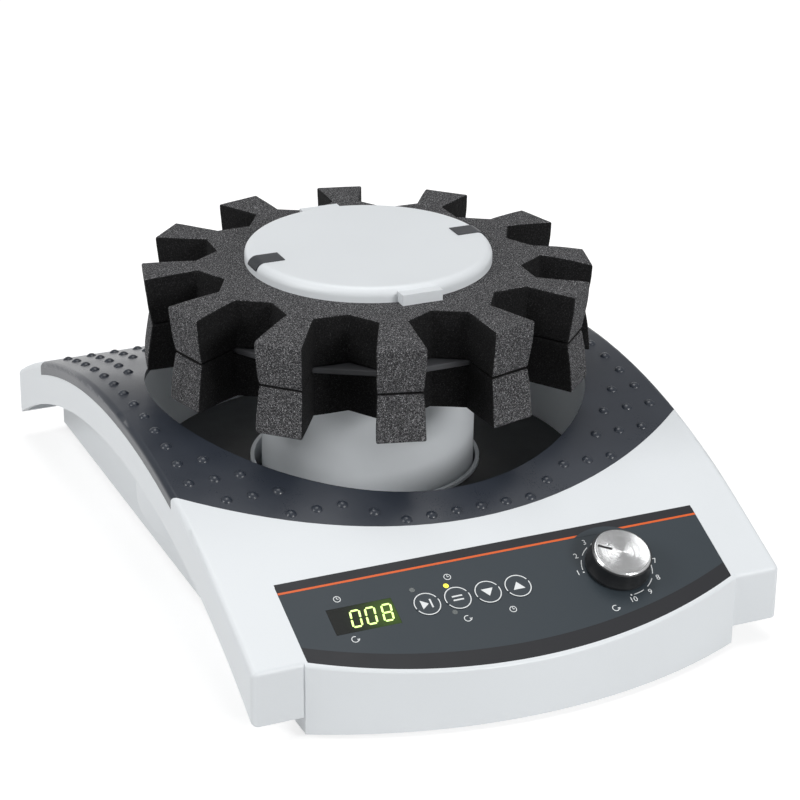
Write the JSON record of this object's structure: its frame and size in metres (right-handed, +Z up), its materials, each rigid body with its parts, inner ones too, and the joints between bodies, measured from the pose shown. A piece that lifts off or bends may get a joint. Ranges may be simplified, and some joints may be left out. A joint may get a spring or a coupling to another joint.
{
  "type": "multi-tube vortex mixer",
  "caption": "Bench-top vortex mixer: arched housing with sloping control panel, bowl, and an orbiting foam head with side slots that grip sample tubes.",
  "frame": {"origin": "on the table, under the middle of the mixer's bounding box", "axes": "+Z up, -Y to the control panel (front), +X to the right as seen from the front"},
  "size_m": [0.27, 0.3993, 0.1564],
  "materials": {
    "housing_white": "fine satin moulding",
    "liner_white": "smooth moulding",
    "mat_rubber": "smooth with small bumps",
    "floor_dark": "fine grain",
    "foot_rubber": "matt",
    "foam_charcoal": "speckled cut foam",
    "plate_dark": "smooth",
    "foil_slate": "printed foil",
    "window_dark": "clear dark window",
    "key_slate": "printed foil key",
    "light_lens": "light pipe",
    "knob_black": "satin",
    "cap_metal": "spun face",
    "steel": "zinc plated",
    "alloy": "turned",
    "brass": "turned",
    "board_green": "circuit board",
    "black_plastic": "moulded",
    "latch_dark": "moulded",
    "belt_rubber": "matt"
  },
  "bodies": {
    "housing": {"upper_housing": "housing_white", "base_plate": "steel", "rubber_feet": "foot_rubber", "base_screws": "steel", "top_mat": "mat_rubber", "bowl_liner": "liner_white", "bowl_floor": "floor_dark", "column_collar": "housing_white", "bowl_posts": "black_plastic", "panel_foil": "foil_slate", "display_window": "window_dark", "display_module": "black_plastic", "control_board": "board_green", "board_standoffs": "brass", "board_screws": "steel", "key_switches": "black_plastic", "status_lights": "light_lens", "speed_potentiometer": "black_plastic", "potentiometer_nut": "steel", "drive_bridge": "steel", "bridge_posts": "steel", "bridge_screws": "steel", "bearing_tower": "alloy", "tower_screws": "steel", "main_bearings": "steel", "motor": "steel", "drive_belt": "belt_rubber", "power_inlet": "black_plastic", "switch_frame": "black_plastic", "power_supply": "board_green", "power_supply_posts": "steel"},
    "eccentric": {"eccentric_shaft": "steel", "driven_pulley": "alloy", "counterweight": "steel"},
    "head": {"head_column": "housing_white", "head_hub": "alloy", "head_bearing": "steel", "head_screws": "steel", "foam_core": "housing_white", "lower_foam": "foam_charcoal", "upper_foam": "foam_charcoal", "mid_plate": "plate_dark"},
    "lid": {"lid": "housing_white"},
    "latch_left": {"lid_latch_left": "latch_dark"},
    "latch_right": {"lid_latch_right": "latch_dark"},
    "motor_rotor": {"motor_shaft": "steel", "motor_pulley": "alloy"},
    "guide_1": {"guide_crank_1": "steel"},
    "guide_2": {"guide_crank_2": "steel"},
    "guide_3": {"guide_crank_3": "steel"},
    "knob": {"speed_knob": "knob_black", "knob_cap": "cap_metal", "potentiometer_shaft": "steel"},
    "start_key": {"start_key": "key_slate"},
    "mode_key": {"mode_key": "key_slate"},
    "down_key": {"down_key": "key_slate"},
    "up_key": {"up_key": "key_slate"},
    "rocker": {"mains_rocker": "black_plastic"}
  },
  "joints": [
    {"name": "drive_spin", "type": "hinge", "parent": "housing", "child": "eccentric", "pos_m": [0, 0.01762, 0.06], "axis": [0, 0, 1], "continuous": true},
    {"name": "head_orbit", "type": "hinge", "parent": "eccentric", "child": "head", "pos_m": [0.0015, 0.01762, 0.09], "axis": [0, 0, 1], "continuous": true},
    {"name": "motor_spin", "type": "hinge", "parent": "housing", "child": "motor_rotor", "pos_m": [0, 0.15862, 0.015], "axis": [0, 0, 1], "continuous": true},
    {"name": "guide_spin_1", "type": "hinge", "parent": "housing", "child": "guide_1", "pos_m": [0, 0.05562, 0.075], "axis": [0, 0, 1], "continuous": true},
    {"name": "guide_spin_2", "type": "hinge", "parent": "housing", "child": "guide_2", "pos_m": [-0.03291, -0.00138, 0.075], "axis": [0, 0, 1], "continuous": true},
    {"name": "guide_spin_3", "type": "hinge", "parent": "housing", "child": "guide_3", "pos_m": [0.03291, -0.00138, 0.075], "axis": [0, 0, 1], "continuous": true},
    {"name": "lid_lift", "type": "slide", "parent": "head", "child": "lid", "axis": [0, 0, 1], "range_m": [0, 0.06]},
    {"name": "latch_left_slide", "type": "slide", "parent": "lid", "child": "latch_left", "axis": [1, 0, 0], "range_m": [0, 0.0025], "stiffness_N_per_m": 400},
    {"name": "latch_right_slide", "type": "slide", "parent": "lid", "child": "latch_right", "axis": [-1, 0, 0], "range_m": [0, 0.0025], "stiffness_N_per_m": 400},
    {"name": "knob_turn", "type": "hinge", "parent": "housing", "child": "knob", "pos_m": [0.0555, -0.15649, 0.04607], "axis": [0, -0.4051, 0.9143], "range_deg": [-240, 24]},
    {"name": "start_key_press", "type": "slide", "parent": "housing", "child": "start_key", "axis": [0, 0.4051, -0.9143], "range_m": [0, 0.0006], "stiffness_N_per_m": 1500},
    {"name": "mode_key_press", "type": "slide", "parent": "housing", "child": "mode_key", "axis": [0, 0.4051, -0.9143], "range_m": [0, 0.0006], "stiffness_N_per_m": 1500},
    {"name": "down_key_press", "type": "slide", "parent": "housing", "child": "down_key", "axis": [0, 0.4051, -0.9143], "range_m": [0, 0.0006], "stiffness_N_per_m": 1500},
    {"name": "up_key_press", "type": "slide", "parent": "housing", "child": "up_key", "axis": [0, 0.4051, -0.9143], "range_m": [0, 0.0006], "stiffness_N_per_m": 1500},
    {"name": "mains_rocker_tip", "type": "hinge", "parent": "housing", "child": "rocker", "pos_m": [0.034, 0.19412, 0.021], "axis": [0, 0, 1], "range_deg": [-20, 0]}
  ],
  "couplings": [
    {"joint": "head_orbit", "follows": "drive_spin", "ratio": -1},
    {"joint": "motor_spin", "follows": "drive_spin", "ratio": 3},
    {"joint": "guide_spin_1", "follows": "drive_spin", "ratio": 1},
    {"joint": "guide_spin_2", "follows": "drive_spin", "ratio": 1},
    {"joint": "guide_spin_3", "follows": "drive_spin", "ratio": 1}
  ]
}
